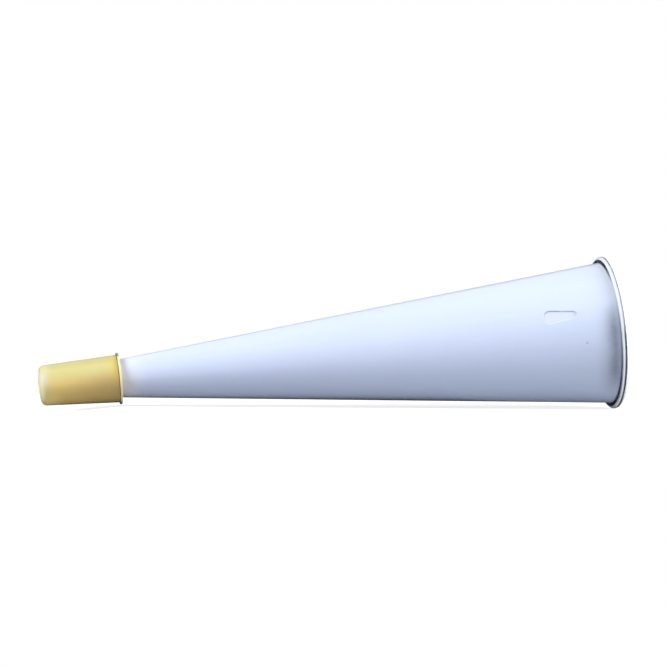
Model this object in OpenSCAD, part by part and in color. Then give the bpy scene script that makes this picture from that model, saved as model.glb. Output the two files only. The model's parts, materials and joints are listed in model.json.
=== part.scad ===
// Mouth-blown fog horn: a moulded cone with a curled rim, a push-on mouthpiece and a beating reed.
// Sizes are millimetres. The horn lies on its side on the plane z = 0, on its rim and its lip end,
// with the mouthpiece towards -X and the bell towards +X. The origin is the middle of its footprint.
// Stations are measured along the horn's own axis, from the lip end.

/* [Horn cone] */
// Length from the lip end to the front of the rim
horn_length = 341; // [300:1:420]
// Outside diameter of the cone where it leaves the mouthpiece
throat_d = 22.2; // [21.8:0.1:24]
// Outside diameter of the plain cone at the rim
mouth_d = 84; // [70:0.1:100]
// Thickness of the cone wall, measured square to the axis
cone_wall = 1.8; // [1.4:0.1:2.4]

/* [Curled rim] */
// Outer radius of the curl's section
curl_r = 2; // [1.6:0.1:2.6]
// Thickness of the curled wall
curl_wall = 1.2; // [0.9:0.1:1.4]
// Height of the curl's centre above the cone
curl_lift = 1.3; // [1:0.1:1.8]
// Height of the open back of the curl, above its centre
curl_gape = 0.4; // [0.2:0.1:0.6]
// Radius of the rounded inner edge of the rim
rim_round = 1.2; // [0.6:0.1:1.4]
// Width of the groove round the crest of the curl
crest_groove_w = 0.6; // [0.3:0.1:0.8]
// Depth of the groove round the crest of the curl
crest_groove_depth = 0.6; // [0.2:0.1:0.7]

/* [Side recess] */
// Length of the plain tapered recess on the cone
recess_l = 20; // [14:0.2:24]
// Width of the recess at its wide end
recess_w = 8.2; // [6:0.2:10]
// Width of the recess at its narrow end
recess_tip_w = 4.2; // [3:0.2:6]
// Depth of the recess's flat floor at the middle of its wide end
recess_depth = 0.7; // [0.3:0.1:0.8]
// Distance from the front of the rim to the middle of the wide end
recess_from_rim = 43.7; // [30:0.1:60]
// Turn of the recess above the side of the horn
recess_turn = 20.8; // [0:0.1:60]

/* [Gate mark] */
// Diameter of the round mark that the mould's gate left on the cone
gate_d = 1.5; // [1:0.1:3]
// Depth of the gate mark
gate_depth = 0.3; // [0.2:0.1:0.6]
// Distance from the front of the rim to the gate mark
gate_from_rim = 24; // [15:0.5:60]
// Turn of the gate mark below the side of the horn
gate_drop = 5; // [0:1:60]

/* [Mouthpiece] */
// Length from the lip end to the back face of the pull flange
mouthpiece_l = 47.3; // [46:0.1:52]
// Diameter that the taper of the barrel would reach at the lip end
lip_d = 23; // [22:0.1:25]
// Diameter of the barrel at the pull flange
barrel_d = 27.7; // [27:0.1:30]
// Radius of the rounded lip
lip_fillet = 3.4; // [2.5:0.1:4.5]
// Radius of the domed lip end
lip_dome_r = 60; // [45:1:120]
// Diameter of the pull flange
flange_d = 30; // [29:0.1:34]
// Thickness of the pull flange
flange_t = 1.2; // [1:0.1:2]
// Radius of the fillet between the barrel and the flange
flange_fillet = 0.3; // [0.2:0.1:1]
// Radius of the rounded edges of the flange
flange_round = 0.4; // [0.2:0.1:0.5]
// Diameter of the blow hole
blow_hole_d = 6.5; // [5:0.1:8]
// Width of the bevel round the blow hole
blow_hole_bevel = 0.8; // [0.4:0.1:1.2]
// Thickness of the lip end
lip_wall = 6; // [5:0.1:8]
// Diameter of the wind chamber at the lip end
chamber_front_d = 18.4; // [18:0.1:19]
// Diameter of the wind chamber at the collar of the reed block
chamber_back_d = 20.2; // [20:0.1:20.8]

/* [Push fit] */
// Diameter of the spigot that the mouthpiece pushes onto
spigot_d = 21.3; // [21:0.1:21.5]
// Length of the spigot
spigot_l = 15; // [12:0.5:18]
// Gap between the spigot and the mouthpiece, on the radius
push_clearance = 0.08; // [0.05:0.01:0.1]
// Gap between the pull flange and the shoulder of the cone
shoulder_gap = 0.1; // [0.05:0.05:0.3]

/* [Reed block] */
// Diameter of the plug in the throat
plug_d = 17.2; // [16.6:0.1:17.6]
// Length of the plug
plug_l = 15; // [12:0.5:18]
// Gap between the plug and the throat, on the radius
plug_clearance = 0.03; // [0.01:0.01:0.08]
// Depth of the bore of the throat past the plug
throat_land = 2; // [1:0.5:4]
// Length of the bevel from the bore of the throat to the inside of the cone
throat_bevel = 2; // [1:0.5:6]
// Diameter of the collar
collar_d = 20.4; // [19.6:0.1:20.8]
// Thickness of the collar
collar_t = 2; // [1.6:0.1:3]
// Least gap between the reed block and the hollow of the mouthpiece, at the collar and at the front
collar_gap = 0.4; // [0.3:0.1:0.8]
// Length of the reed table in front of the collar
table_l = 22; // [20:0.5:23]
// Diameter of the bar that the table is cut on
table_bar_d = 12.4; // [11.8:0.1:13]
// Height of the table above the horn's axis
table_h = 0.8; // [0.6:0.1:1.4]
// Diameter of the sound bore
bore_d = 5; // [4.4:0.1:5.4]
// Drop of the sound bore below the horn's axis
bore_drop = 2.4; // [2.2:0.1:2.8]
// Wall at the closed front of the trough
trough_wall = 2.5; // [2:0.1:3.5]

/* [Reed] */
// Length of the blade in front of the clamp
blade_l = 14.5; // [12:0.5:15.5]
// Length of the heel under the clamp
heel_l = 5; // [4:0.5:5.5]
// Width of the blade
blade_w = 7; // [6.4:0.1:7.2]
// Thickness of the blade
blade_t = 0.3; // [0.2:0.05:0.4]
// Rise of the curved blade at its tip
blade_rise = 0.6; // [0.5:0.05:0.8]
// Gap between the table and the heel
heel_gap = 0.15; // [0.12:0.01:0.2]

/* [Reed clamp] */
// Length of the clamp along the horn
clamp_l = 5.5; // [5.5:0.1:6.2]
// Width of the clamp
clamp_w = 11.8; // [11.6:0.1:12]
// Height of the clamp
clamp_h = 2.4; // [2:0.1:3]
// Gap beside and above the blade in the clamp
clamp_clearance = 0.3; // [0.2:0.05:0.35]
// Distance between the two screws
screw_pitch = 9.6; // [9.4:0.1:9.8]
// Diameter of a screw's shank
screw_d = 1.4; // [1.2:0.1:1.5]
// Diameter of a screw's head
screw_head_d = 2.4; // [2:0.1:2.6]
// Height of a screw's head
screw_head_h = 0.9; // [0.7:0.1:1.2]
// Depth of a screw in the table
screw_depth = 2.2; // [1.8:0.1:2.6]
// Gap round a screw's shank
screw_clearance = 0.05; // [0.02:0.01:0.1]

/* [Hidden] */
$fn = 96;
small_fn = 32;
blade_steps = 12;
// Reach of a cutter past the face that it opens
over = 1;

// The cone: its outside line runs from the shoulder to the centre of the curl
shoulder_s = mouthpiece_l + shoulder_gap;
curl_s = horn_length - curl_r;
cone_slope = (mouth_d - throat_d) / 2 / (curl_s - shoulder_s);
curl_centre_r = mouth_d / 2 + curl_lift;
curl_top_r = curl_centre_r + curl_r;
spigot_s = shoulder_s - spigot_l;
plug_end_s = spigot_s + plug_l;
throat_r = plug_d / 2 + plug_clearance;
land_end_s = max(plug_end_s, shoulder_s) + throat_land;
bevel_end_s = land_end_s + throat_bevel;
function cone_r(s) = throat_d / 2 + cone_slope * (s - shoulder_s);

// The mouthpiece: the rounded lip is a circle that touches both the dome and the taper
flange_s = mouthpiece_l - flange_t;
barrel_slope = (barrel_d - lip_d) / 2 / flange_s;
barrel_tilt = atan(barrel_slope);
lip_base_r = lip_d / 2 - lip_fillet / cos(barrel_tilt);
quad_a = 1 + barrel_slope * barrel_slope;
quad_b = 2 * (lip_base_r * barrel_slope - lip_dome_r);
quad_c = lip_base_r * lip_base_r + lip_dome_r * lip_dome_r - pow(lip_dome_r - lip_fillet, 2);
lip_s = (-quad_b - sqrt(quad_b * quad_b - 4 * quad_a * quad_c)) / (2 * quad_a);
lip_r = lip_base_r + barrel_slope * lip_s;
socket_r = spigot_d / 2 + push_clearance;
function barrel_r(s) = lip_d / 2 + barrel_slope * s;
collar_s = spigot_s - collar_t;
socket_s = collar_s - collar_gap;

// The reed: the blade leaves the clamp at the hinge and curves up to its tip
table_s = collar_s - table_l;
clamp_end_s = collar_s - clamp_clearance;
hinge_s = clamp_end_s - clamp_l;
blade_bottom_h = table_h + heel_gap;
clamp_recess_h = heel_gap + blade_t + clamp_clearance;
screw_s = clamp_end_s - clamp_l / 2;

// The lie: the curl and the rounded lip both touch the ground
lie_run = curl_s - lip_s;
lie_rise = curl_centre_r - lip_r;
lie_angle = atan2(lie_rise, lie_run) + asin((curl_r - lip_fillet) / norm([lie_run, lie_rise]));
ground_z = curl_s * sin(lie_angle) - curl_centre_r * cos(lie_angle) - curl_r;
front_x = curl_s * cos(lie_angle) + curl_centre_r * sin(lie_angle) + curl_r;
back_x = lip_dome_r * (cos(lie_angle) - 1);

// Lays a piece that is built about the +X axis on its side on the ground
module lay() {
    translate([-(front_x + back_x) / 2, 0, -ground_z])
        rotate([0, -lie_angle, 0])
            children();
}

// Turns a profile of stations and radii about the +X axis
module turned() {
    rotate([0, 90, 0])
        rotate_extrude()
            mirror([1, -1, 0])
                children();
}

// A round bar along +X between two stations
module bar(from_s, to_s, d, fn = $fn) {
    translate([from_s, 0, 0])
        rotate([0, 90, 0])
            cylinder(d = d, h = to_s - from_s, $fn = fn);
}

// Corner piece that rounds a square corner, from its round centre out to past the corner
module corner_cut(centre, r, toward) {
    side = r + over;
    translate(centre)
        difference() {
            translate([min(0, toward.x) * side, min(0, toward.y) * side])
                square(side);
            circle(r);
        }
}

// Section of the cone's wall, with its spigot, its throat and a square block where the rim curls
module cone_blank() {
    curl_back_s = curl_s - curl_r;
    polygon([
        [spigot_s, throat_r],
        [spigot_s, spigot_d / 2],
        [shoulder_s, spigot_d / 2],
        [shoulder_s, throat_d / 2],
        [curl_back_s, cone_r(curl_back_s)],
        [curl_back_s, curl_top_r],
        [horn_length, curl_top_r],
        [horn_length, mouth_d / 2 - cone_wall],
        [curl_s, mouth_d / 2 - cone_wall],
        [bevel_end_s, cone_r(bevel_end_s) - cone_wall],
        [land_end_s, throat_r]
    ]);
}

// Space behind the curl, between its lip and the cone
module curl_mouth() {
    mouth_s = curl_s - curl_r - over;
    polygon([
        [mouth_s, cone_r(mouth_s)],
        [curl_s, mouth_d / 2],
        [curl_s, curl_centre_r + curl_gape],
        [mouth_s, curl_centre_r + curl_gape]
    ]);
}

// Finished section: the rim curls outwards and back, with a groove round its crest
module cone_profile() {
    difference() {
        cone_blank();
        corner_cut([curl_s, curl_centre_r], curl_r, [1, 1]);
        corner_cut([curl_s, curl_centre_r], curl_r, [-1, 1]);
        corner_cut([horn_length - rim_round, mouth_d / 2 - cone_wall + rim_round], rim_round, [1, -1]);
        translate([curl_s, curl_centre_r])
            circle(curl_r - curl_wall);
        curl_mouth();
        translate([curl_s - crest_groove_w / 2, curl_top_r - crest_groove_depth])
            square([crest_groove_w, crest_groove_depth + over]);
    }
}

// Sinks an outline into the side of the cone, at a distance from the rim and a turn above the side.
// Its flat floor follows the slope of the cone.
module sunk_in_cone(from_rim, turn, depth) {
    middle_s = horn_length - from_rim;
    rotate([90 - turn, 0, 0])
        translate([middle_s, 0, cone_r(middle_s) - depth])
            rotate([0, -atan(cone_slope), 0])
                linear_extrude(depth + over)
                    children();
}

// Plain outline with a wide and a narrow round end, joined by the lines that touch both
module recess_outline() {
    wide_r = recess_w / 2;
    tip_r = recess_tip_w / 2;
    reach = recess_l - wide_r - tip_r;
    touch = acos((wide_r - tip_r) / reach);
    way = [cos(touch), sin(touch)];
    mirrored = [cos(touch), -sin(touch)];
    circle(wide_r);
    translate([reach, 0])
        circle(tip_r);
    polygon([
        wide_r * mirrored,
        [reach, 0] + tip_r * mirrored,
        [reach, 0] + tip_r * way,
        wide_r * way
    ]);
}

module horn_cone() {
    color("aliceblue")
        lay()
            difference() {
                turned()
                    cone_profile();
                sunk_in_cone(recess_from_rim, recess_turn, recess_depth)
                    recess_outline();
                sunk_in_cone(gate_from_rim, -gate_drop, gate_depth)
                    circle(d = gate_d, $fn = small_fn);
            }
}

// Outside of the mouthpiece before its edges are rounded
module mouthpiece_blank() {
    fillet_s = flange_s - flange_fillet;
    intersection() {
        polygon([
            [0, 0],
            [0, lip_d / 2],
            [fillet_s, barrel_r(fillet_s)],
            [fillet_s, barrel_r(fillet_s) + flange_fillet],
            [flange_s, barrel_r(fillet_s) + flange_fillet],
            [flange_s, flange_d / 2],
            [mouthpiece_l, flange_d / 2],
            [mouthpiece_l, 0]
        ]);
        translate([lip_dome_r, 0])
            circle(lip_dome_r, $fn = 4 * $fn);
    }
}

// What the rounded lip takes off: from the round's centre out past the dome and the taper
module lip_cut() {
    dome_way = [lip_s - lip_dome_r, lip_r] / (lip_dome_r - lip_fillet);
    taper_way = [-sin(barrel_tilt), cos(barrel_tilt)];
    centre = [lip_s, lip_r];
    reach = 2 * lip_fillet;
    difference() {
        polygon([
            centre,
            centre + reach * dome_way,
            centre + reach * (dome_way + taper_way),
            centre + reach * taper_way
        ]);
        translate(centre)
            circle(lip_fillet);
    }
}

// Outside of the mouthpiece: dome, rounded lip, tapered barrel and pull flange
module mouthpiece_outside() {
    fillet_s = flange_s - flange_fillet;
    round_h = flange_d / 2 - flange_round;
    difference() {
        mouthpiece_blank();
        lip_cut();
        corner_cut([mouthpiece_l - flange_round, round_h], flange_round, [1, 1]);
        corner_cut([flange_s + flange_round, round_h], flange_round, [-1, 1]);
        translate([fillet_s, barrel_r(fillet_s) + flange_fillet])
            circle(flange_fillet, $fn = small_fn);
    }
}

// Hollow of the mouthpiece: blow hole with its bevel, wind chamber and socket,
// and room for the front of the reed block where a short mouthpiece brings the lip end to it
module mouthpiece_hollow() {
    front_room_s = table_s - collar_gap;
    polygon([
        [-over, 0],
        [-over, blow_hole_d / 2 + blow_hole_bevel + over],
        [blow_hole_bevel, blow_hole_d / 2],
        [lip_wall, blow_hole_d / 2],
        [lip_wall, chamber_front_d / 2],
        [socket_s, chamber_back_d / 2],
        [socket_s, socket_r],
        [mouthpiece_l + over, socket_r],
        [mouthpiece_l + over, 0]
    ]);
    translate([front_room_s, 0])
        square([socket_s - front_room_s, table_bar_d / 2 + collar_gap]);
}

module mouthpiece() {
    color("khaki")
        lay()
            turned()
                difference() {
                    mouthpiece_outside();
                    mouthpiece_hollow();
                }
}

// Half space above the reed table, from the front of the bar to the collar
module above_table() {
    translate([table_s - over, -table_bar_d / 2, table_h])
        cube([table_l + over, table_bar_d, table_bar_d]);
}

// Sound bore, open above as a trough where the blade covers it
module sound_way() {
    translate([0, 0, -bore_drop])
        bar(table_s + trough_wall, plug_end_s + over, bore_d, small_fn);
    translate([table_s + trough_wall, -bore_d / 2, -bore_drop])
        cube([collar_s - clamp_l - table_s - trough_wall, bore_d, bore_drop + table_h + over]);
}

// One hole or shank for each clamp screw
module at_screws() {
    for (side = [-1, 1])
        translate([screw_s, side * screw_pitch / 2, 0])
            children();
}

module reed_block() {
    color("dimgray")
        lay()
            difference() {
                union() {
                    difference() {
                        bar(table_s, collar_s, table_bar_d);
                        above_table();
                    }
                    bar(collar_s, spigot_s, collar_d);
                    bar(spigot_s, plug_end_s, plug_d);
                }
                sound_way();
                at_screws()
                    translate([0, 0, table_h - screw_depth])
                        cylinder(d = screw_d + 2 * screw_clearance, h = screw_depth + over, $fn = small_fn);
            }
}

// Height of the blade's underside, a distance in front of the hinge
function blade_h(reach) = blade_bottom_h + blade_rise * pow(reach / blade_l, 2);

module reed_tongue() {
    reaches = [for (i = [0:blade_steps]) blade_l * i / blade_steps];
    heel_s = hinge_s + heel_l;
    underside = [for (reach = reaches) [hinge_s - reach, blade_h(reach)]];
    topside = [for (i = [blade_steps:-1:0]) [hinge_s - reaches[i], blade_h(reaches[i]) + blade_t]];
    color("goldenrod")
        lay()
            rotate([90, 0, 0])
                linear_extrude(blade_w, center = true)
                    polygon(concat(
                        [[heel_s, blade_bottom_h + blade_t], [heel_s, blade_bottom_h]],
                        underside,
                        topside
                    ));
}

module reed_clamp() {
    recess_w_under = blade_w + 2 * clamp_clearance;
    color("goldenrod")
        lay()
            difference() {
                translate([hinge_s, -clamp_w / 2, table_h])
                    cube([clamp_l, clamp_w, clamp_h]);
                translate([hinge_s - over, -recess_w_under / 2, table_h - over])
                    cube([clamp_l + 2 * over, recess_w_under, clamp_recess_h + over]);
                at_screws()
                    translate([0, 0, table_h - over])
                        cylinder(d = screw_d + 2 * screw_clearance, h = clamp_h + 2 * over, $fn = small_fn);
            }
}

module clamp_screws() {
    slot_w = screw_d / 3;
    slot_depth = screw_head_h / 2;
    shank_l = screw_depth - screw_clearance + clamp_h;
    color("silver")
        lay()
            at_screws()
                difference() {
                    union() {
                        translate([0, 0, table_h - screw_depth + screw_clearance])
                            cylinder(d = screw_d, h = shank_l, $fn = small_fn);
                        translate([0, 0, table_h + clamp_h])
                            cylinder(d = screw_head_d, h = screw_head_h, $fn = small_fn);
                    }
                    translate([-screw_head_d, -slot_w / 2, table_h + clamp_h + screw_head_h - slot_depth])
                        cube([2 * screw_head_d, slot_w, slot_depth + over]);
                }
}

horn_cone();
mouthpiece();
reed_block();
reed_tongue();
reed_clamp();
clamp_screws();
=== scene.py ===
"""Looks of the fog horn: turned shells, softened reed pieces, materials, floor, light and camera."""
import json
import math

import bmesh
import bpy
from mathutils import Matrix, Vector


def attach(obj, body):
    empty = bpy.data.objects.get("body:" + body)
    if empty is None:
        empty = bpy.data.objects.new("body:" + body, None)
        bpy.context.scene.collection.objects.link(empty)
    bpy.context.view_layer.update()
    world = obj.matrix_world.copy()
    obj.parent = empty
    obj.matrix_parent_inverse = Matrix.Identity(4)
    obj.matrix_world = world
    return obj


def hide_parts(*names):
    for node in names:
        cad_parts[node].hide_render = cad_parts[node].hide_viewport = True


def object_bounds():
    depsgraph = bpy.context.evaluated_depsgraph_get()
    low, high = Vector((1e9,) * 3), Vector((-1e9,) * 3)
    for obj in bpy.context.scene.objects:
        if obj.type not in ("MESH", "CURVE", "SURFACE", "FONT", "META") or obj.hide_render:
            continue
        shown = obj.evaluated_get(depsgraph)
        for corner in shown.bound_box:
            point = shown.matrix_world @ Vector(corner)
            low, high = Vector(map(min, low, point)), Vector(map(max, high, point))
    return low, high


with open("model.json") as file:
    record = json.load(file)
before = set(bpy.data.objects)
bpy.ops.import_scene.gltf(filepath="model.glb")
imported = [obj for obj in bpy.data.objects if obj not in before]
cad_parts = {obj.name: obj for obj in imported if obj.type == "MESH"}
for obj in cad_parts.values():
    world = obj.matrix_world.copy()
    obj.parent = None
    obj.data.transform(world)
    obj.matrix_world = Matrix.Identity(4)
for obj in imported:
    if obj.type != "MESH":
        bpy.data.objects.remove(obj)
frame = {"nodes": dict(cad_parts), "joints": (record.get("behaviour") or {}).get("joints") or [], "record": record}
cad_low, cad_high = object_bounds()

MM = 0.001

# Mouthpiece, in millimetres: stations along the horn's axis from the lip end, and radii
MOUTHPIECE_L = 47.3
FLANGE_S = 46.1
FLANGE_R = 15.0
FLANGE_ROUND = 0.4
FLANGE_FOOT = 0.3
LIP_BARREL_R = 11.5
FLANGE_BARREL_R = 13.85
LIP_ROUND = 3.4
DOME_R = 60.0
BLOW_R = 3.25
BLOW_BEVEL = 0.8
LIP_WALL = 6.0
CHAMBER_FRONT_R = 9.2
CHAMBER_BACK_R = 10.1
SOCKET_S = 30.0
SOCKET_R = 10.73
BARREL_SLOPE = (FLANGE_BARREL_R - LIP_BARREL_R) / FLANGE_S

# Cone, measured in the same way
SPIGOT_S = 32.4
SPIGOT_R = 10.65
SHOULDER_S = 47.4
SHOULDER_R = 11.1
THROAT_R = 8.63
LAND_END_S = 49.4
BEVEL_END_S = 51.4
CONE_WALL = 1.8
CURL_S = 339.0
CURL_CENTRE_R = 43.3
CURL_R = 2.0
CURL_HOLLOW_R = 0.8
CURL_GAPE = 0.4
MOUTH_R = 42.0
RIM_LAND = 0.5
RIM_ROUND = 1.2
GROOVE_W = 0.6
GROOVE_DEPTH = 0.6
GROOVE_ROUND = 0.08
EDGE_ROUND = 0.25
CONE_SLOPE = (MOUTH_R - SHOULDER_R) / (CURL_S - SHOULDER_S)

# Degrees of the curl's arc that are left to the roundings of its lip and of its groove
CURL_LIP_SPARE = 8.0
GROOVE_SPARE = 3.0

# Tapered recess and gate mark on the near side of the cone
RECESS_S = 297.3
RECESS_REACH = 13.8
RECESS_WIDE_R = 4.1
RECESS_TIP_R = 2.1
RECESS_DEPTH = 0.7
RECESS_WALL = 0.4
RECESS_SPREAD = 0.2
RECESS_TURN = math.radians(20.8)
GATE_S = 317.0
GATE_R = 0.75
GATE_DEPTH = 0.3
GATE_STEEP = 1.6
GATE_TURN = math.radians(-5.0)
NEAR_SIDE = math.radians(60.0)

# The horn's own axis, from the mount at the middle of the blow hole
HOLE = next(m for m in frame["record"]["mounts"] if m["name"] == "blow_hole")
HOLE_S = (BLOW_BEVEL + LIP_WALL) / 2
AXIS = -Vector(HOLE["axis"]).normalized()
NEAR = Vector((0.0, -1.0, 0.0))
RISE = AXIS.cross(-NEAR)
LIE = math.atan2(AXIS.z, AXIS.x)
LIP = Vector(HOLE["pos_m"]) - HOLE_S * MM * AXIS


def cone_r(station):
    """Outside radius of the cone at a station."""
    return SHOULDER_R + CONE_SLOPE * (station - SHOULDER_S)


def barrel_r(station):
    """Outside radius of the mouthpiece's barrel at a station."""
    return LIP_BARREL_R + BARREL_SLOPE * station


def on_horn(station, radius, turn):
    """Point of the frame at a station, a radius and a turn above the near side."""
    out = math.cos(turn) * NEAR + math.sin(turn) * RISE
    return LIP + MM * (station * AXIS + radius * out)


# Outlines of the turned shells: longest steps, margins of the finer zone at the marks, and divisions
COARSE = 7.0
DOME_STEP = 0.8
FINE = 0.2
FINE_BEFORE = 1.0
FINE_AFTER = 0.5
HOLD = 0.12
ROUND_STEPS = 5
ARC_STEPS = 20
TURN_STEP = math.radians(3.0)


def corner(station, radius, rounding=0.0, pitch=COARSE):
    """Corner of an outline, its rounding, and the longest step on the edge that follows it."""
    return Vector((station, radius)), rounding, pitch


def arc(centre_s, centre_r, radius, start, end):
    """Corners along an arc, between two angles in degrees from the axis."""
    angles = [math.radians(start + (end - start) * i / ARC_STEPS) for i in range(ARC_STEPS + 1)]
    return [corner(centre_s + radius * math.cos(a), centre_r + radius * math.sin(a)) for a in angles]


def rounded(corners):
    """Closed outline with every corner's rounding cut, as points with the step that follows each."""
    outline = []
    for before, this, after in zip(corners[-1:] + corners[:-1], corners, corners[1:] + corners[:1]):
        point, rounding, pitch = this
        if not rounding:
            outline.append((point, pitch))
            continue
        back = (before[0] - point).normalized()
        ahead = (after[0] - point).normalized()
        half = back.angle(ahead) / 2
        centre = point + (back + ahead).normalized() * rounding / math.sin(half)
        first = point + back * rounding / math.tan(half) - centre
        last = point + ahead * rounding / math.tan(half) - centre
        for step in range(ROUND_STEPS + 1):
            way = first.lerp(last, step / ROUND_STEPS).normalized()
            outline.append((centre + rounding * way, pitch))
    return outline


def stepped(outline):
    """Points of an outline with its long edges divided, and held close to their ends."""
    points = []
    for (start, pitch), (end, _) in zip(outline, outline[1:] + outline[:1]):
        points.append(start)
        length = (end - start).length
        inner = length - 2 * HOLD
        if inner > HOLD:
            count = math.ceil(inner / pitch)
            points += [start.lerp(end, (HOLD + inner * i / count) / length) for i in range(count + 1)]
    return points


def turn_steps(windows=()):
    """Turns round the horn, with finer steps in windows of (middle, half width, step)."""
    turns = []
    turn = -math.pi
    while turn < math.pi - 0.5 * TURN_STEP:
        turns.append(turn)
        step = TURN_STEP
        for middle, half, fine in windows:
            if middle - half <= turn < middle + half:
                step = fine
            elif turn < middle - half:
                step = min(step, max(middle - half - turn, fine))
        turn += step
    return turns


def turned(name, outline, turns, marks=()):
    """Shell made by turning an outline about the horn's axis.

    Marks of (name, share, depth) are sunk in it, and the mesh carries each mark's share under its name.
    """
    shell = bmesh.new()
    layers = [shell.verts.layers.float.new(mark) for mark, _, _ in marks]
    rings = []
    for station, radius in stepped(outline):
        ring = []
        for turn in turns:
            shares = [share(station, radius, turn) for _, share, _ in marks]
            sunk = sum(share * depth(station, turn) for share, (_, _, depth) in zip(shares, marks) if share)
            ring.append(shell.verts.new(on_horn(station, radius - sunk, turn)))
            for layer, share in zip(layers, shares):
                ring[-1][layer] = share
        rings.append(ring)
    for ring, after in zip(rings, rings[1:] + rings[:1]):
        for i in range(len(turns)):
            shell.faces.new((ring[i - 1], ring[i], after[i], after[i - 1]))
    bmesh.ops.recalc_face_normals(shell, faces=shell.faces)
    return add_piece(name, shell)


def add_piece(name, shell):
    """New smooth-shaded object from a bmesh."""
    mesh = bpy.data.meshes.new(name)
    shell.to_mesh(mesh)
    shell.free()
    mesh.shade_smooth()
    piece = bpy.data.objects.new(name, mesh)
    bpy.context.scene.collection.objects.link(piece)
    return piece


def smooth(share):
    """Smooth step from 0 to 1."""
    share = min(max(share, 0.0), 1.0)
    return share * share * (3.0 - 2.0 * share)


def outside_of_cone(station, radius, turn):
    """Whether a point is on the near side of the cone's outside."""
    return abs(turn) < NEAR_SIDE and abs(radius - cone_r(station)) < 0.5 * CONE_WALL


def recess_share(station, radius, turn):
    """1 on the floor of the tapered recess and 0 outside it, from the distance to its outline."""
    if not outside_of_cone(station, radius, turn):
        return 0.0
    along = station - RECESS_S
    across = abs(radius * math.sin(turn - RECESS_TURN))
    lean = (RECESS_WIDE_R - RECESS_TIP_R) / RECESS_REACH
    side = math.sqrt(1.0 - lean * lean)
    foot = along * side - across * lean
    if foot < 0.0:
        outside = math.hypot(along, across) - RECESS_WIDE_R
    elif foot > RECESS_REACH * side:
        outside = math.hypot(along - RECESS_REACH, across) - RECESS_TIP_R
    else:
        outside = across * side + along * lean - RECESS_WIDE_R
    return smooth(RECESS_SPREAD - outside / RECESS_WALL)


def recess_depth(station, turn):
    """Depth of the recess's flat floor below the cone."""
    return cone_r(station) - (cone_r(station) - RECESS_DEPTH) / math.cos(turn - RECESS_TURN)


def gate_share(station, radius, turn):
    """1 at the middle of the dished gate mark and 0 outside it."""
    if not outside_of_cone(station, radius, turn):
        return 0.0
    away = math.hypot(station - GATE_S, radius * math.sin(turn - GATE_TURN))
    return smooth(GATE_STEEP * (1.0 - away / GATE_R))


def gate_depth(station, turn):
    """Depth of the gate mark at its middle."""
    return GATE_DEPTH


CONE_MARKS = (("recess_mark", recess_share, recess_depth), ("gate_mark", gate_share, gate_depth))


def cone_outline():
    """Section of the cone: spigot, shoulder, cone, curl with its hollow and groove, and inside."""
    fine_from = RECESS_S - RECESS_WIDE_R - FINE_BEFORE
    fine_to = GATE_S + GATE_R + FINE_AFTER
    lip_s = CURL_S - math.sqrt(CURL_R ** 2 - CURL_GAPE ** 2)
    gape_r = CURL_CENTRE_R + CURL_GAPE
    hollow_turn = math.degrees(math.asin(CURL_GAPE / CURL_HOLLOW_R))
    lip_turn = math.degrees(math.asin(CURL_GAPE / CURL_R)) + CURL_LIP_SPARE
    groove_half = 0.5 * GROOVE_W
    groove_turn = math.degrees(math.asin(groove_half / CURL_R)) + GROOVE_SPARE
    groove_edge_r = CURL_CENTRE_R + math.sqrt(CURL_R ** 2 - groove_half ** 2)
    groove_floor_r = CURL_CENTRE_R + CURL_R - GROOVE_DEPTH
    inner_r = MOUTH_R - CONE_WALL
    return rounded([
        corner(SPIGOT_S, THROAT_R, EDGE_ROUND),
        corner(SPIGOT_S, SPIGOT_R, 2 * EDGE_ROUND),
        corner(SHOULDER_S, SPIGOT_R),
        corner(SHOULDER_S, SHOULDER_R, 0.5 * EDGE_ROUND),
        corner(fine_from, cone_r(fine_from), 0.0, FINE),
        corner(fine_to, cone_r(fine_to)),
        corner(CURL_S, MOUTH_R, EDGE_ROUND),
        *arc(CURL_S, CURL_CENTRE_R, CURL_HOLLOW_R, -90.0, 180.0 - hollow_turn),
        corner(lip_s, gape_r, 0.5 * EDGE_ROUND),
        *arc(CURL_S, CURL_CENTRE_R, CURL_R, 180.0 - lip_turn, 90.0 + groove_turn),
        corner(CURL_S - groove_half, groove_edge_r, GROOVE_ROUND),
        corner(CURL_S - groove_half, groove_floor_r),
        corner(CURL_S + groove_half, groove_floor_r),
        corner(CURL_S + groove_half, groove_edge_r, GROOVE_ROUND),
        *arc(CURL_S, CURL_CENTRE_R, CURL_R, 90.0 - groove_turn, 0.0),
        corner(CURL_S + CURL_R, inner_r, RIM_ROUND),
        corner(CURL_S - RIM_LAND, inner_r),
        corner(BEVEL_END_S, cone_r(BEVEL_END_S) - CONE_WALL, EDGE_ROUND),
        corner(LAND_END_S, THROAT_R, EDGE_ROUND),
    ])


def lip_centre():
    """Centre of the rounded lip, which touches both the dome and the barrel."""
    base_r = LIP_BARREL_R - LIP_ROUND * math.hypot(1.0, BARREL_SLOPE)
    a = 1.0 + BARREL_SLOPE ** 2
    b = 2.0 * (base_r * BARREL_SLOPE - DOME_R)
    c = base_r ** 2 + DOME_R ** 2 - (DOME_R - LIP_ROUND) ** 2
    station = (-b - math.sqrt(b * b - 4.0 * a * c)) / (2.0 * a)
    return station, base_r + BARREL_SLOPE * station


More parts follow.
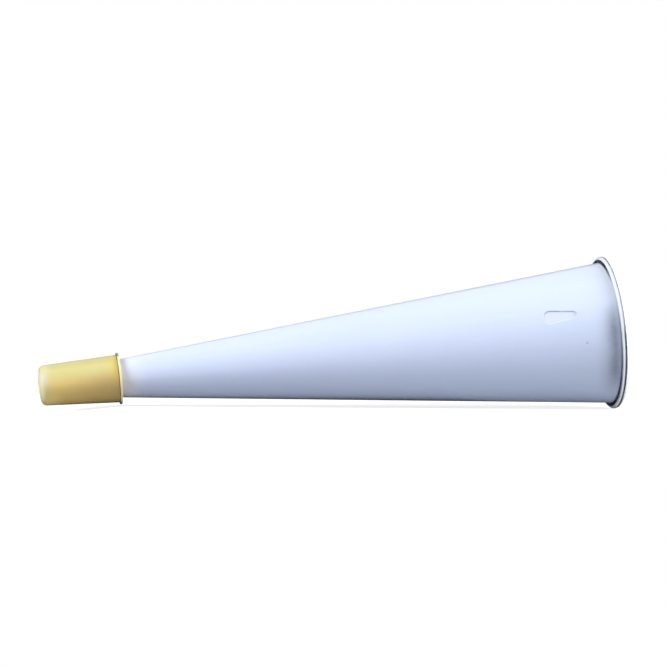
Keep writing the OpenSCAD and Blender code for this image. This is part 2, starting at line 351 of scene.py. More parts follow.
def mouthpiece_outline():
    """Section of the mouthpiece: domed lip end, barrel, pull flange, socket and wind chamber."""
    centre_s, centre_r = lip_centre()
    dome_turn = math.degrees(math.atan2(centre_r, centre_s - DOME_R))
    barrel_turn = 90.0 + math.degrees(math.atan(BARREL_SLOPE))
    bevel_r = BLOW_R + BLOW_BEVEL
    dome_s = DOME_R - math.sqrt(DOME_R ** 2 - bevel_r ** 2)
    return rounded([
        corner(LIP_WALL, BLOW_R, EDGE_ROUND),
        corner(BLOW_BEVEL, BLOW_R, EDGE_ROUND),
        corner(dome_s, bevel_r, EDGE_ROUND, DOME_STEP),
        *arc(centre_s, centre_r, LIP_ROUND, dome_turn, barrel_turn),
        corner(FLANGE_S, barrel_r(FLANGE_S), FLANGE_FOOT),
        corner(FLANGE_S, FLANGE_R, FLANGE_ROUND),
        corner(MOUTHPIECE_L, FLANGE_R, FLANGE_ROUND),
        corner(MOUTHPIECE_L, SOCKET_R, EDGE_ROUND),
        corner(SOCKET_S, SOCKET_R),
        corner(SOCKET_S, CHAMBER_BACK_R, EDGE_ROUND),
        corner(LIP_WALL, CHAMBER_FRONT_R, EDGE_ROUND),
    ])


# Node trees of the materials and the surround
class Tree:
    """A node tree, with one short call for each kind of node."""

    def __init__(self, owner):
        owner.use_nodes = True
        self.owner = owner
        self.tree = owner.node_tree

    def node(self, kind, **settings):
        """New node with its settings."""
        made = self.tree.nodes.new(kind)
        for key, value in settings.items():
            setattr(made, key, value)
        return made

    def link(self, source, target):
        """Link from an output to an input."""
        self.tree.links.new(source, target)

    def feed(self, socket, value):
        """Gives an input another node's output, or a plain value."""
        if isinstance(value, bpy.types.NodeSocket):
            self.link(value, socket)
        else:
            socket.default_value = value

    def math(self, kind, a, b=0.0, c=0.0):
        """Output of a math node."""
        made = self.node("ShaderNodeMath", operation=kind)
        for socket, value in zip(made.inputs, (a, b, c)):
            self.feed(socket, value)
        return made.outputs[0]

    def both(self, first, *others):
        """Product of masks."""
        for other in others:
            first = self.math("MULTIPLY", first, other)
        return first

    def either(self, first, *others):
        """Largest of masks."""
        for other in others:
            first = self.math("MAXIMUM", first, other)
        return first

    def split(self, vector):
        """The three parts of a vector."""
        made = self.node("ShaderNodeSeparateXYZ")
        self.link(vector, made.inputs[0])
        return made.outputs["X"], made.outputs["Y"], made.outputs["Z"]

    def ramp(self, value, low, high, low_out=0.0, high_out=1.0):
        """Smooth step of a value, from one output to another."""
        made = self.node("ShaderNodeMapRange", interpolation_type="SMOOTHSTEP")
        limits = {"From Min": low, "From Max": high, "To Min": low_out, "To Max": high_out}
        for key, number in limits.items():
            made.inputs[key].default_value = number
        self.link(value, made.inputs["Value"])
        return made.outputs["Result"]

    def mix(self, factor, a, b):
        """Mix of two colours."""
        made = self.node("ShaderNodeMix", data_type="RGBA")
        for key, value in ((0, factor), (6, a), (7, b)):
            self.feed(made.inputs[key], value)
        return made.outputs[2]

    def mix_shader(self, factor, a, b):
        """Mix of two shaders."""
        made = self.node("ShaderNodeMixShader")
        for socket, value in zip(made.inputs, (factor, a, b)):
            self.link(value, socket)
        return made.outputs[0]

    def ray_kinds(self):
        """Masks of the camera's own rays, and of rays from a reflection or through a clear body."""
        path = self.node("ShaderNodeLightPath")
        shiny = self.either(path.outputs["Is Glossy Ray"], path.outputs["Is Transmission Ray"])
        return path.outputs["Is Camera Ray"], shiny


class Finish(Tree):
    """A surface finish, whose patterns follow the horn's own axis: X is the station in metres."""

    def __init__(self, name):
        super().__init__(bpy.data.materials.new(name))
        self.shader = self.tree.nodes["Principled BSDF"]
        coords = self.node("ShaderNodeTexCoord")
        turn = self.node("ShaderNodeMapping")
        turn.inputs["Rotation"].default_value = (0.0, LIE, 0.0)
        turn.inputs["Location"].default_value = -(Matrix.Rotation(LIE, 3, "Y") @ LIP)
        self.link(coords.outputs["Object"], turn.inputs["Vector"])
        self.place = turn.outputs["Vector"]

    def put(self, values):
        """Feeds the shader's inputs by name."""
        for key, value in values.items():
            self.feed(self.shader.inputs[key], value)

    def noise(self, scale, detail=2.0, rough=0.5, stretch=(1.0, 1.0, 1.0)):
        """Soft noise, drawn out along an axis where its stretch is small."""
        spread = self.node("ShaderNodeMapping")
        spread.inputs["Scale"].default_value = stretch
        self.link(self.place, spread.inputs["Vector"])
        made = self.node("ShaderNodeTexNoise")
        for key, value in (("Scale", scale), ("Detail", detail), ("Roughness", rough)):
            made.inputs[key].default_value = value
        self.link(spread.outputs["Vector"], made.inputs["Vector"])
        return made.outputs["Fac"]

    def bump(self, height, strength, distance):
        """Normal of a fine relief, whose distance is in millimetres."""
        made = self.node("ShaderNodeBump")
        made.inputs["Strength"].default_value = strength
        made.inputs["Distance"].default_value = distance * MM
        self.link(height, made.inputs["Height"])
        return made.outputs["Normal"]

    def layered(self, colour, *layers):
        """Colour with others laid over it in turn, each a pair of a mask and a colour."""
        for mask, tone in layers:
            colour = self.mix(mask, colour, tone)
        return colour

    def specks(self):
        """Mask of fine specks."""
        return self.ramp(self.noise(1500.0), 0.70, 0.76, 0.0, 0.3)

    def scuffs(self, scale, stretch):
        """Mask of fine straight scratches in patches."""
        lines = self.ramp(self.noise(scale, 3.0, 0.6, stretch), 0.62, 0.72)
        return self.both(lines, self.ramp(self.noise(22.0), 0.45, 0.7))


class TurnedFinish(Finish):
    """Finish of a turned shell, with masks that go by the place on it.

    Station and radius are in millimetres. Lift is the height above the axis as a share of the radius.
    """

    def __init__(self, name):
        super().__init__(name)
        along, side, height = self.split(self.place)
        squares = self.math("MULTIPLY_ADD", height, height, self.math("MULTIPLY", side, side))
        out = self.math("SQRT", squares)
        self.station = self.math("DIVIDE", along, MM)
        self.radius = self.math("DIVIDE", out, MM)
        self.lift = self.math("DIVIDE", height, out)

    def by_station(self, *limits):
        """Mask that goes by the station."""
        return self.ramp(self.station, *limits)

    def by_radius(self, *limits):
        """Mask that goes by the radius."""
        return self.ramp(self.radius, *limits)

    def by_lift(self, *limits):
        """Mask that goes by the lift."""
        return self.ramp(self.lift, *limits)

    def away_from(self, centre_s, centre_r):
        """Distance in millimetres from a ring about the axis."""
        along = self.math("SUBTRACT", self.station, centre_s)
        out = self.math("SUBTRACT", self.radius, centre_r)
        squares = self.math("MULTIPLY_ADD", along, along, self.math("MULTIPLY", out, out))
        return self.math("SQRT", squares)

    def mark(self, name):
        """Share of a mark that the mesh carries."""
        return self.node("ShaderNodeAttribute", attribute_name=name).outputs["Fac"]


def rgb(red, green, blue):
    """Opaque colour."""
    return (red, green, blue, 1.0)


# White plastic
WHITE_BELOW = rgb(0.59, 0.68, 0.925)
# Painted light: the white plastic paler above
WHITE_PAINTED_LIGHT = rgb(0.655, 0.74, 0.935)
WHITE_CLOUD = rgb(0.60, 0.69, 0.90)
WHITE_STREAK = rgb(0.58, 0.68, 0.89)
# Painted reflection: the cone paler and warmer beside the mouthpiece, where its yellow reflects
WHITE_SHOULDER_REFLECTION = rgb(0.77, 0.78, 0.90)
WHITE_SPECK = rgb(0.36, 0.42, 0.54)
# Painted light: the floor of the recess paler
WHITE_RECESS_LIGHT = rgb(0.70, 0.745, 0.92)
# Painted highlight on the curl
WHITE_RIM_HIGHLIGHT = rgb(0.89, 0.91, 0.97)
# Painted light on the cone behind the curl
WHITE_RIM_LIGHT = rgb(0.79, 0.86, 1.0)
# Painted shade on the recess's upper wall
RECESS_SHADE = rgb(0.11, 0.12, 0.20)
# Darker colour in the dished gate mark
GATE_DARK = rgb(0.16, 0.18, 0.32)
# Painted shadow of the curl on the cone
RIM_SHADOW = rgb(0.05, 0.063, 0.10)
# Painted shade in and round the curl
CURL_SHADE = rgb(0.018, 0.02, 0.04)


def curl_painted_shade(finish):
    """Painted shade in the hollow of the curl, in the crotch behind it, and on its back edge at the sides."""
    hollow = finish.both(
        finish.ramp(finish.away_from(CURL_S, CURL_CENTRE_R), 1.95, 1.65),
        finish.by_radius(CURL_CENTRE_R + 1.2, CURL_CENTRE_R + 0.9),
    )
    crotch = finish.both(
        finish.by_station(CURL_S - 2.6, CURL_S - 2.0),
        finish.by_station(CURL_S + 0.4, CURL_S + 0.2),
        finish.by_radius(MOUTH_R + 0.6, MOUTH_R + 0.3),
        finish.by_radius(MOUTH_R - 0.9, MOUTH_R - 0.7),
    )
    edge = finish.both(
        finish.by_station(CURL_S - 1.35, CURL_S - 1.65),
        finish.by_radius(MOUTH_R + 1.1, MOUTH_R + 1.4),
        finish.by_lift(0.72, 0.5, 0.0, 0.85),
        finish.by_lift(-0.98, -0.8, 0.1, 1.0),
    )
    level = finish.either(finish.by_lift(0.6, -1.0, 0.1, 0.9), finish.by_lift(0.68, 0.97, 0.1, 0.95))
    patchy = finish.ramp(finish.noise(160.0, 3.0), 0.25, 0.6, 0.75, 1.0)
    return finish.both(finish.either(hollow, crotch, edge), level, patchy)


def groove_painted_shade(finish):
    """Painted shade in the groove round the crest of the curl and on its edges, least of it above the middle."""
    groove = finish.both(
        finish.by_station(CURL_S - 0.85, CURL_S - 0.65),
        finish.by_station(CURL_S + 0.5, CURL_S + 0.3),
        finish.by_radius(CURL_CENTRE_R + 0.9, CURL_CENTRE_R + 1.2),
    )
    level = finish.either(finish.by_lift(0.2, -0.05, 0.2, 0.85), finish.by_lift(0.8, 0.95, 0.0, 0.6))
    patchy = finish.ramp(finish.noise(160.0, 3.0), 0.25, 0.6, 0.8, 1.0)
    return finish.both(groove, level, patchy)


def recess_painted_shade(finish):
    """Painted shade on the upper wall of the recess."""
    share = finish.mark("recess_mark")
    wall = finish.both(finish.ramp(share, 0.02, 0.3), finish.ramp(share, 0.98, 0.7))
    patchy = finish.ramp(finish.noise(350.0), 0.4, 0.6, 0.3, 1.0)
    return finish.both(wall, finish.by_lift(0.36, 0.42, 0.0, 0.65), patchy)


def rim_painted_highlight(finish):
    """Painted highlight on the outside of the curl, less of it towards the front."""
    outside = finish.ramp(finish.away_from(CURL_S, CURL_CENTRE_R), CURL_R - 0.08, CURL_R - 0.02)
    on_curl = finish.by_radius(MOUTH_R + 0.4, MOUTH_R + 0.8)
    behind = finish.by_station(CURL_S + 1.9, CURL_S + 1.2)
    patchy = finish.ramp(finish.noise(120.0, 3.0), 0.3, 0.6, 0.7, 1.0)
    return finish.both(outside, on_curl, behind, patchy)


def on_cone(finish):
    """Mask of the cone's outside, from the radius at which its slope would meet station 0."""
    start_r = finish.math("MULTIPLY_ADD", finish.station, -CONE_SLOPE, finish.radius)
    return finish.both(
        finish.ramp(start_r, cone_r(0.0) - 0.9, cone_r(0.0) - 0.6),
        finish.ramp(start_r, cone_r(0.0) + 0.6, cone_r(0.0) + 0.3),
    )


def rim_painted_shadow(finish):
    """Painted shadow of the curl on the sides of the cone behind it, and less of it right by the curl."""
    far = finish.by_station(CURL_S - 17.0, CURL_S - 11.0, 0.0, 0.12)
    close = finish.by_station(CURL_S - 13.0, CURL_S - 5.0, 0.0, 0.45)
    wiped = finish.by_station(CURL_S - 5.5, CURL_S - 2.0, 1.0, 0.55)
    beside = finish.both(finish.by_lift(0.5, 0.1), finish.by_lift(-0.95, -0.5))
    patchy = finish.ramp(finish.noise(90.0, 4.0, 0.6), 0.3, 0.6, 0.7, 1.0)
    return finish.both(finish.math("ADD", far, close), wiped, beside, patchy, on_cone(finish))


def rim_painted_light(finish):
    """Painted light: paler cone behind the curl's upper half."""
    along = finish.by_station(CURL_S - 9.0, CURL_S - 3.0, 0.0, 0.8)
    return finish.both(along, finish.by_lift(0.3, 0.6), on_cone(finish))


def white_plastic():
    """Glossy blue-white plastic with flow streaks and specks; painted light above and a painted reflection by the
    mouthpiece; painted light, highlight, shade and shadow at the recess and the curl.
    """
    finish = TurnedFinish("white_plastic_moulded")
    cloud = finish.noise(18.0, 3.0)
    streak = finish.noise(60.0, 3.0, 0.6, (0.06, 1.0, 1.0))
    fine = finish.scuffs(260.0, (0.12, 1.0, 1.0))
    colour = finish.layered(
        WHITE_BELOW,
        # Paler above: painted light
        (finish.by_lift(-0.2, 0.5), WHITE_PAINTED_LIGHT),
        (finish.ramp(cloud, 0.3, 0.7, 0.0, 0.25), WHITE_CLOUD),
        (finish.ramp(streak, 0.4, 0.75, 0.0, 0.4), WHITE_STREAK),
        # Painted reflection of the mouthpiece's yellow on the cone
        (finish.by_station(SHOULDER_S + 16.0, SHOULDER_S + 4.0, 0.0, 0.7), WHITE_SHOULDER_REFLECTION),
        (finish.specks(), WHITE_SPECK),
        # Paler recess floor: painted light
        (finish.both(finish.mark("recess_mark"), 0.6), WHITE_RECESS_LIGHT),
        (recess_painted_shade(finish), RECESS_SHADE),
        (finish.both(finish.mark("gate_mark"), 0.45), GATE_DARK),
        (rim_painted_highlight(finish), WHITE_RIM_HIGHLIGHT),
        (rim_painted_light(finish), WHITE_RIM_LIGHT),
        (rim_painted_shadow(finish), RIM_SHADOW),
        (curl_painted_shade(finish), CURL_SHADE),
        (groove_painted_shade(finish), CURL_SHADE),
    )
    finish.put({
        "Base Color": colour,
        "Roughness": finish.math("MULTIPLY_ADD", fine, 0.08, finish.ramp(cloud, 0.2, 0.8, 0.285, 0.33)),
        "Normal": finish.bump(finish.noise(900.0), 0.04, 0.4),
        "IOR": 1.5,
        "Coat Weight": 0.2,
        "Coat Roughness": 0.12,
    })
    return finish.owner


# Yellow plastic
YELLOW_LIP_BELOW = rgb(0.82, 0.61, 0.21)
# Painted shade: the underside darker towards the flange
YELLOW_SHADED_BELOW = rgb(0.60, 0.425, 0.165)
# Painted light: the yellow paler and greener above
YELLOW_PAINTED_LIGHT = rgb(0.645, 0.605, 0.265)
# Painted shade: the yellow darker at the top
YELLOW_TOP_SHADE = rgb(0.52, 0.495, 0.195)
YELLOW_CLOUD = rgb(0.72, 0.60, 0.25)
# Painted light beside the flange
YELLOW_BY_FLANGE_LIGHT = rgb(0.76, 0.58, 0.10)
# Painted light: the lip end paler
YELLOW_LIP = rgb(0.72, 0.69, 0.40)
# Painted highlight on the lip
YELLOW_LIP_HIGHLIGHT = rgb(0.75, 0.73, 0.62)
# Painted light under the lip
YELLOW_UNDER_LIP_LIGHT = rgb(0.97, 0.76, 0.30)
# Painted highlight on the flange's edge
YELLOW_FLANGE_HIGHLIGHT = rgb(0.82, 0.79, 0.58)
YELLOW_SPECK = rgb(0.33, 0.25, 0.10)
# Painted shade at the flange's foot
FOOT_SHADE = rgb(0.06, 0.04, 0.015)
# Painted shade at the flange's tips
FLANGE_SHADE = rgb(0.03, 0.02, 0.01)


def by_flange_painted_light(finish):
    """Painted light: a brighter, more saturated strip of the barrel beside the flange, on its upper half."""
    return finish.both(
        finish.by_station(FLANGE_S - 7.1, FLANGE_S - 1.1, 0.0, 0.6),
        finish.by_station(FLANGE_S + 0.2, FLANGE_S - 0.2),
        finish.by_lift(-0.4, 0.3),
    )


def lip_painted_highlight(finish):
    """Painted highlight on each side of the rounded lip."""
    return finish.both(
        finish.by_station(6.0, 3.0),
        finish.by_radius(8.8, 10.4),
        finish.by_lift(-0.15, 0.2),
        finish.by_lift(0.8, 0.5),
    )


def under_lip_painted_light(finish):
    """Painted light on the underside of the barrel behind the rounded lip."""
    return finish.both(
        finish.by_station(15.0, 6.0),
        finish.by_station(1.5, 3.5),
        finish.by_lift(-0.2, -0.8, 0.0, 0.9),
    )


def foot_painted_shade(finish):
    """Painted shade at the foot of the flange."""
    from_foot = finish.away_from(FLANGE_S, barrel_r(FLANGE_S))
    patchy = finish.ramp(finish.noise(200.0, 3.0), 0.3, 0.6, 0.6, 0.95)
    return finish.both(finish.ramp(from_foot, 0.55, 0.25), patchy)


def flange_painted_shade(finish):
    """Painted shade at the top and the bottom of the flange."""
    on_flange = finish.by_radius(FLANGE_BARREL_R + 0.1, FLANGE_BARREL_R + 0.3)
    below = finish.by_lift(-0.86, -0.97, 0.0, 0.9)
    above = finish.by_lift(0.84, 0.93, 0.0, 0.8)
    return finish.both(on_flange, finish.either(below, above))


def yellow_plastic():
    """Glossy yellow plastic, a little translucent, with painted light above, beside the flange and under the lip,
    painted highlights at the lip and the flange's edge, and painted shade on top, below and at the flange.
    """
    finish = TurnedFinish("yellow_plastic_moulded")
    cloud = finish.noise(60.0, 3.0)
    fine = finish.scuffs(300.0, (0.15, 1.0, 1.0))
    colour = finish.layered(
        YELLOW_LIP_BELOW,
        # Underside goes from the lip's colour to a darker one towards the flange: painted shade
        (finish.by_station(5.0, FLANGE_S - 1.1), YELLOW_SHADED_BELOW),
        # Paler above: painted light
        (finish.by_lift(0.0, 0.55), YELLOW_PAINTED_LIGHT),
        # Darker at the top: painted shade
        (finish.by_lift(0.65, 0.95), YELLOW_TOP_SHADE),
        (finish.ramp(cloud, 0.3, 0.7, 0.0, 0.25), YELLOW_CLOUD),
        (by_flange_painted_light(finish), YELLOW_BY_FLANGE_LIGHT),
        # Paler lip end: painted light, with a painted highlight on each side
        (finish.by_station(9.0, 1.5, 0.0, 0.8), finish.mix(lip_painted_highlight(finish), YELLOW_LIP, YELLOW_LIP_HIGHLIGHT)),
        (under_lip_painted_light(finish), YELLOW_UNDER_LIP_LIGHT),
        # Paler flange edge: painted highlight
        (finish.by_radius(FLANGE_R - 0.5, FLANGE_R - 0.2, 0.0, 0.8), YELLOW_FLANGE_HIGHLIGHT),
        (finish.specks(), YELLOW_SPECK),
        (foot_painted_shade(finish), FOOT_SHADE),
        (flange_painted_shade(finish), FLANGE_SHADE),
    )
    finish.put({
        "Base Color": colour,
        "Roughness": finish.math("MULTIPLY_ADD", fine, 0.10, finish.ramp(cloud, 0.2, 0.8, 0.31, 0.37)),
        "Normal": finish.bump(finish.noise(1000.0), 0.05, 0.4),
        "IOR": 1.5,
        "Subsurface Weight": 0.25,
        "Subsurface Scale": 0.004,
        "Subsurface Radius": (1.0, 0.7, 0.25),
        "Coat Weight": 0.25,
        "Coat Roughness": 0.1,
    })
    return finish.owner


# Black plastic and metals
BLACK_DEEP = rgb(0.018, 0.018, 0.02)
BLACK_CLOUD = rgb(0.03, 0.03, 0.033)
BRASS_DARK = rgb(0.62, 0.43, 0.16)
BRASS_LIGHT = rgb(0.80, 0.60, 0.26)
STEEL_DARK = rgb(0.42, 0.42, 0.44)
STEEL_LIGHT = rgb(0.72, 0.72, 0.74)
METAL_ROUGH = 0.28


def black_plastic():
    """Satin black plastic with a fine grain."""
    finish = Finish("black_plastic_satin")
    grain = finish.noise(1400.0, 3.0)
    cloud = finish.ramp(finish.noise(150.0, 3.0), 0.3, 0.7)
    finish.put({
        "Base Color": finish.mix(cloud, BLACK_DEEP, BLACK_CLOUD),
        "Roughness": finish.ramp(grain, 0.3, 0.7, 0.38, 0.5),
        "Normal": finish.bump(grain, 0.12, 0.3),
    })
    return finish.owner


def brushed_metal(name, dark, light, stretch):
    """Metal with fine lines in one direction and patches of tarnish."""
    finish = Finish(name)
    lines = finish.noise(2600.0, 3.0, 0.6, stretch)
    tarnish = finish.ramp(finish.noise(190.0, 4.0, 0.6), 0.45, 0.75, 0.0, 0.55)
    finish.put({
        "Base Color": finish.layered(dark, (finish.ramp(lines, 0.3, 0.7), light), (tarnish, dark)),
        "Metallic": 1.0,
        "Roughness": finish.math("MULTIPLY_ADD", lines, 0.2, METAL_ROUGH),
        "Normal": finish.bump(lines, 0.1, 0.2),
    })
    return finish.owner


# Pieces: edge roundings of the reed unit in millimetres, and finer turns at the marks of the cone
BLOCK_ROUND = 0.2
TONGUE_ROUND = 0.06
CLAMP_ROUND = 0.15
SCREW_ROUND = 0.1
WELD = 0.001
SHARP = math.radians(35.0)
FLAT = math.radians(1.0)
RECESS_WINDOW = (RECESS_TURN, math.radians(7.5), math.radians(0.3))
GATE_WINDOW = (GATE_TURN, math.radians(1.5), math.radians(0.25))


def softened(name, node, width):
    """Copy of a CAD node with its sharp edges rounded over a width."""
    shell = bmesh.new()
    shell.from_mesh(frame["nodes"][node].data)
    bmesh.ops.remove_doubles(shell, verts=shell.verts, dist=WELD * MM)
    bmesh.ops.dissolve_limit(shell, angle_limit=FLAT, verts=shell.verts, edges=shell.edges)
    bmesh.ops.bevel(
        shell,
        geom=[edge for edge in shell.edges if edge.calc_face_angle(0.0) > SHARP],
        offset=width * MM,
        segments=2,
        profile=0.5,
        affect="EDGES",
        clamp_overlap=True,
    )
    piece = add_piece(name, shell)
    piece.data.set_sharp_from_angle(angle=SHARP)
    return piece


def fit(piece, node, body, material):
    """Puts a piece in the place of a CAD node, on its body, with its finish."""
    piece.data.materials.clear()
    piece.data.materials.append(material)
    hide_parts(node)
    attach(piece, body)


def make_pieces():
    """All pieces of the horn."""
    cone = turned("cone_shell", cone_outline(), turn_steps((GATE_WINDOW, RECESS_WINDOW)), CONE_MARKS)
    mouthpiece = turned("mouthpiece_shell", mouthpiece_outline(), turn_steps())
    block = softened("block_softened", "reed_block", BLOCK_ROUND)
    tongue = softened("tongue_softened", "reed_tongue", TONGUE_ROUND)
    clamp = softened("clamp_softened", "reed_clamp", CLAMP_ROUND)
    screws = softened("screws_softened", "clamp_screws", SCREW_ROUND)
    brass = brushed_metal("brass_rolled", BRASS_DARK, BRASS_LIGHT, (0.05, 1.0, 1.0))
    steel = brushed_metal("steel_turned", STEEL_DARK, STEEL_LIGHT, (1.0, 1.0, 0.2))
    fit(cone, "horn_cone", "horn", white_plastic())
    fit(mouthpiece, "mouthpiece", "mouthpiece", yellow_plastic())
    fit(block, "reed_block", "horn", black_plastic())
    fit(tongue, "reed_tongue", "reed", brass)
    fit(clamp, "reed_clamp", "horn", brass)
    fit(screws, "clamp_screws", "horn", steel)


# Floor, and the dip in it that leaves the mouthpiece room when it is pulled off
FLOOR_REACH = 6.0
PULL = next(j for j in frame["joints"] if j["name"] == "mouthpiece_pull")["range_m"][1]
DIP_CLEAR = 0.0002
DIP_DEPTH = PULL * math.sin(LIE) + DIP_CLEAR
DIP_SIDE = 0.07
DIP_SLOPE = 0.055
DIP_PITCH = 0.005

# Tones of the floor: to the eye, as light from below at the lip and the bell, and where it is dark
FLOOR_TONE = 0.35
FLOOR_LIFT = 0.78
FLOOR_BOUNCE = 0.38
FLOOR_FILL_LIP = 0.11
FLOOR_FILL_BELL = 0.24
FLOOR_DARK = 0.02

# Dark strip under the horn: half widths at the lip and at its widest, places along the horn, soft edge
SHADED_LIP = 0.0038
SHADED_HALF = 0.0105
SHADED_TO = 0.06
SHADED_END = 0.14
SHADED_LEFT = 0.05
SHADED_INNER = 0.7
SHADED_OUTER = 1.3

# Distances from the horn over which the dark reflection and the shadow fade out
MIRROR_NEAR = 0.03
MIRROR_FAR = 0.09
SHADOW_NEAR = 0.10
SHADOW_FAR = 0.26


def stage_object(name, corners, faces):
    """New object from corners and faces."""
    mesh = bpy.data.meshes.new(name)
    mesh.from_pydata(corners, [], faces)
    made = bpy.data.objects.new(name, mesh)
    bpy.context.scene.collection.objects.link(made)
    return made


def diffuse(tree, tone):
    """Output of a matt grey."""
    made = tree.node("ShaderNodeBsdfDiffuse")
    made.inputs["Color"].default_value = rgb(tone, tone, tone)
    return made.outputs[0]


def glow(tree, strength):
    """Output of a plain white glow."""
    made = tree.node("ShaderNodeEmission")
    tree.feed(made.inputs["Strength"], strength)
    return made.outputs[0]


def lifted(tree, tone, strength):
    """Output of a matt grey with a glow added, which keeps a fainter shadow."""
    made = tree.node("ShaderNodeAddShader")
    tree.link(diffuse(tree, tone), made.inputs[0])
    tree.link(glow(tree, strength), made.inputs[1])
    return made.outputs[0]


def away_from_horn(tree, along, across):
    """Distance on the floor from the line that the horn lies along."""
    past_end = tree.math("SUBTRACT", tree.math("ABSOLUTE", along), cad_high.x)
    past_end = tree.math("MAXIMUM", past_end, 0.0)
    squares = tree.math("MULTIPLY_ADD", across, across, tree.math("MULTIPLY", past_end, past_end))
    return tree.math("SQRT", squares)


def floor_material():
    """White far out; near the horn it keeps the shadow, and reflections see it dark."""
    tree = Tree(bpy.data.materials.new("floor_white"))
    tree.tree.nodes.clear()
    along, across, _ = tree.split(tree.node("ShaderNodeTexCoord").outputs["Object"])
    away = away_from_horn(tree, along, across)
    further = tree.ramp(away, SHADOW_NEAR, SHADOW_FAR)
    seen = tree.mix_shader(further, lifted(tree, FLOOR_TONE, FLOOR_LIFT), glow(tree, 1.0))
    shaded = tree.both(
        tree.ramp(along, cad_low.x, SHADED_TO, SHADED_LIP, SHADED_HALF),
        tree.ramp(along, SHADED_TO, SHADED_END, 1.0, SHADED_LEFT),
    )
    beside = tree.math("DIVIDE", tree.math("ABSOLUTE", across), shaded)
    clear = tree.ramp(beside, SHADED_INNER, SHADED_OUTER)
    fill = tree.ramp(along, cad_low.x, cad_high.x, FLOOR_FILL_LIP, FLOOR_FILL_BELL)
    bounce = tree.mix_shader(clear, diffuse(tree, FLOOR_DARK), lifted(tree, FLOOR_BOUNCE, fill))
    close = tree.mix_shader(tree.ramp(away, MIRROR_NEAR, MIRROR_FAR), diffuse(tree, FLOOR_DARK), bounce)
    mirrored = tree.mix_shader(further, close, glow(tree, 1.0))
    eye, shiny = tree.ray_kinds()
    lit = tree.mix_shader(eye, tree.mix_shader(shiny, bounce, mirrored), seen)
    tree.link(lit, tree.node("ShaderNodeOutputMaterial").inputs["Surface"])
    return tree.owner


def floor_lines(low, high):
    """Grid lines of the floor: a fine pitch between two ends, and one far line on each side."""
    count = math.ceil((high - low) / DIP_PITCH)
    return [-FLOOR_REACH, *(low + (high - low) * i / count for i in range(count + 1)), FLOOR_REACH]


def floor_height(x, y):
    """Height of the floor, which dips round the mouthpiece."""
    beside = smooth((DIP_SIDE - abs(y)) / DIP_SLOPE)
    before = smooth((cad_low.x + DIP_SLOPE - x) / DIP_SLOPE)
    after = smooth((x - cad_low.x + PULL + DIP_SLOPE) / DIP_SLOPE)
    return -DIP_DEPTH * beside * before * after


def make_floor():
    """Floor with its dip."""
    across = floor_lines(cad_low.x - PULL - DIP_SLOPE, cad_low.x + DIP_SLOPE)
    deep = floor_lines(-DIP_SIDE, DIP_SIDE)
    corners = [(x, y, floor_height(x, y)) for y in deep for x in across]
    starts = [row * len(across) + i for row in range(len(deep) - 1) for i in range(len(across) - 1)]
    faces = [(i, i + 1, i + 1 + len(across), i + len(across)) for i in starts]
    floor = stage_object("floor", corners, faces)
    floor.data.shade_smooth()
    floor.data.materials.append(floor_material())


# Background and light
CARD_Y = 1.0
CARD_REACH = 2.0
CARD_TOP = 0.5
CARD_TONE = rgb(0.02, 0.02, 0.025)
WORLD_FILL = 0.30
LAMP_DISTANCE = 2.0
SHINE_DISTANCE = 2.1
LAMP_SIZE = 1.2
LAMP_AIM = Vector((0.0, 0.0, 0.04))
SHINE_SHARE = 0.15


def make_card():
    """Dark card behind the horn, which only reflections see: it draws the horn's upper edge."""
    corners = [
        (-CARD_REACH, CARD_Y, 0.0),
        (CARD_REACH, CARD_Y, 0.0),
        (CARD_REACH, CARD_Y, CARD_TOP),
        (-CARD_REACH, CARD_Y, CARD_TOP),
    ]
    card = stage_object("dark_card", corners, [(0, 1, 2, 3)])
    tree = Tree(bpy.data.materials.new("card_dark"))
    tree.tree.nodes["Principled BSDF"].inputs["Base Color"].default_value = CARD_TONE
    card.data.materials.append(tree.owner)
    card.visible_camera = False
    card.visible_diffuse = False
    card.visible_shadow = False
    card.visible_transmission = False


def make_world():
    """Even white surround: soft as light, plain white to the eye and in reflections."""
    world = bpy.data.worlds.new("studio")
    bpy.context.scene.world = world
    tree = Tree(world)
    tree.tree.nodes.clear()
    shades = []
    for strength in (WORLD_FILL, 1.0):
        shade = tree.node("ShaderNodeBackground")
        shade.inputs["Color"].default_value = rgb(1.0, 1.0, 1.0)
        shade.inputs["Strength"].default_value = strength
        shades.append(shade.outputs[0])
    out = tree.node("ShaderNodeOutputWorld")
    tree.link(tree.mix_shader(tree.either(*tree.ray_kinds()), *shades), out.inputs["Surface"])


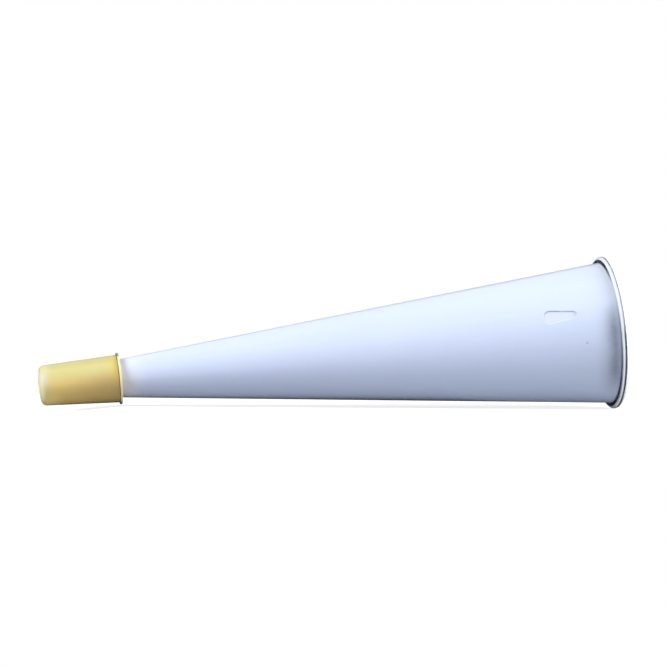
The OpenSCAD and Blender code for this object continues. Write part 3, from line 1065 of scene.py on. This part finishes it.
def lamp(name, way, distance, level):
    """Round soft lamp in a direction; level is the white that it gives a surface that faces it."""
    light = bpy.data.lights.new(name, "AREA")
    light.shape = "DISK"
    light.size = LAMP_SIZE
    light.energy = level * (math.pi * distance) ** 2
    made = bpy.data.objects.new(name, light)
    bpy.context.scene.collection.objects.link(made)
    way = Vector(way).normalized()
    made.location = LAMP_AIM + way * distance
    made.rotation_euler = way.to_track_quat("Z", "Y").to_euler()
    made.visible_camera = False
    return made


def lamp_pair(name, way, level):
    """Lamp in two shares. Reflections see only the smaller one, so that highlights stay soft."""
    lamp(name + "_shine", way, SHINE_DISTANCE, SHINE_SHARE * level)
    matt = lamp(name + "_matt", way, LAMP_DISTANCE, (1.0 - SHINE_SHARE) * level)
    matt.visible_glossy = False


# Camera
IMAGE_PX = 667
SENSOR_MM = 36.0
FOCAL_PX = 3200.0
CAMERA_AZIMUTH = math.radians(-8.838)
CAMERA_ELEVATION = math.radians(1.0)
CAMERA_ROLL = math.radians(0.636)
CAMERA_PLACE = Vector((-287.8955, -1856.705, 75.9551)) * MM


def make_camera():
    """Camera at the photograph's place, turned to its view and rolled as it was held."""
    data = bpy.data.cameras.new("camera")
    data.sensor_fit = "HORIZONTAL"
    data.sensor_width = SENSOR_MM
    data.lens = FOCAL_PX / IMAGE_PX * SENSOR_MM
    camera = bpy.data.objects.new("camera", data)
    bpy.context.scene.collection.objects.link(camera)
    level = math.cos(CAMERA_ELEVATION)
    away = Vector((
        -math.sin(CAMERA_AZIMUTH) * level,
        math.cos(CAMERA_AZIMUTH) * level,
        -math.sin(CAMERA_ELEVATION),
    ))
    right = away.cross(Vector((0.0, 0.0, 1.0))).normalized()
    up = right.cross(away)
    spin_c, spin_s = math.cos(CAMERA_ROLL), math.sin(CAMERA_ROLL)
    right, up = spin_c * right + spin_s * up, spin_c * up - spin_s * right
    matrix = Matrix((right, up, -away)).transposed().to_4x4()
    matrix.translation = CAMERA_PLACE
    camera.matrix_world = matrix
    bpy.context.scene.camera = camera


make_pieces()
make_floor()
make_card()
make_world()
lamp_pair("right_lamp", way=(0.84, -0.30, 0.45), level=1.10)
lamp_pair("left_lamp", way=(-0.84, -0.25, 0.48), level=0.90)
make_camera()
bpy.context.scene.view_settings.view_transform = "Standard"
